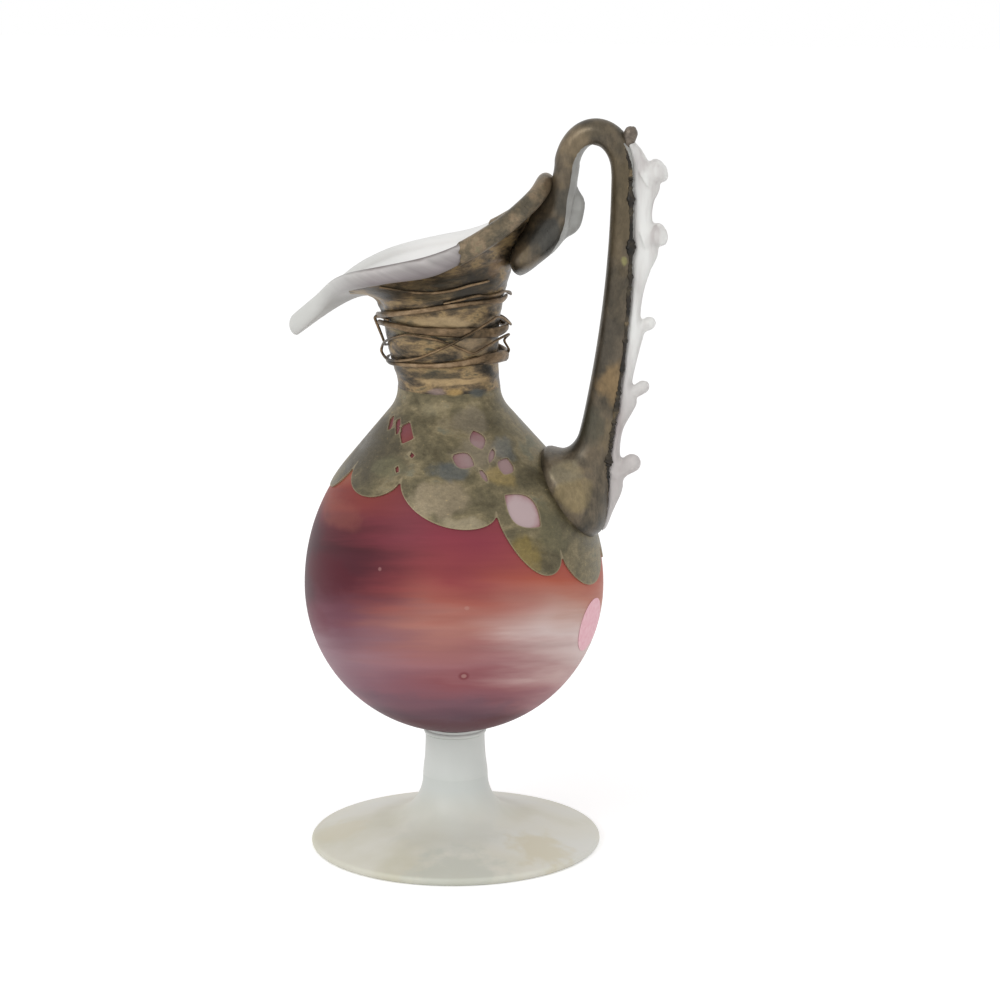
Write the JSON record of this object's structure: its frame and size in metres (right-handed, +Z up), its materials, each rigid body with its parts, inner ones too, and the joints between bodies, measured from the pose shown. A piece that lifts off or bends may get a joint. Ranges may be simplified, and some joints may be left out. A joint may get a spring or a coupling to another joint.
{
  "type": "glass ewer",
  "caption": "Stemmed glass ewer with a round bulb, a pulled spout, a looped handle with a knobbed crest and a pierced, scalloped metal skin.",
  "frame": {"origin": "centre of the foot's flat underside", "axes": "+Z up through the neck, +X towards the handle, -X towards the pouring lip; the XZ plane is the plane of symmetry of the glass body"},
  "size_m": [0.1293, 0.1032, 0.2545],
  "materials": {
    "frosted_glass": "satin off-white glass",
    "stem_glass": "satin bluish grey glass",
    "coloured_glass": "satin glass with crimson, orange and purple streaks",
    "clear_glass": "frosted clear glass with lilac streaks",
    "aged_brass": "olive bronze patina, mottled, rubbed gold in places",
    "thread_metal": "brown gold patina",
    "pink_paper": "matt pink paper"
  },
  "bodies": {
    "root": {"foot": "frosted_glass", "stem": "stem_glass", "stem_collar": "stem_glass", "bulb": "coloured_glass", "neck_and_spout": "clear_glass", "handle": "clear_glass", "handle_crest": "clear_glass", "shoulder_overlay": "aged_brass", "neck_overlay": "aged_brass", "rim_overlay": "aged_brass", "lower_pad_overlay": "aged_brass", "grip_overlay": "aged_brass", "arch_overlay": "aged_brass", "upper_pad_overlay": "aged_brass", "crest_tip_overlay": "aged_brass", "neck_thread_top": "thread_metal", "neck_thread_winding": "thread_metal", "neck_thread_zigzag": "thread_metal", "price_dot": "pink_paper"}
  },
  "joints": []
}
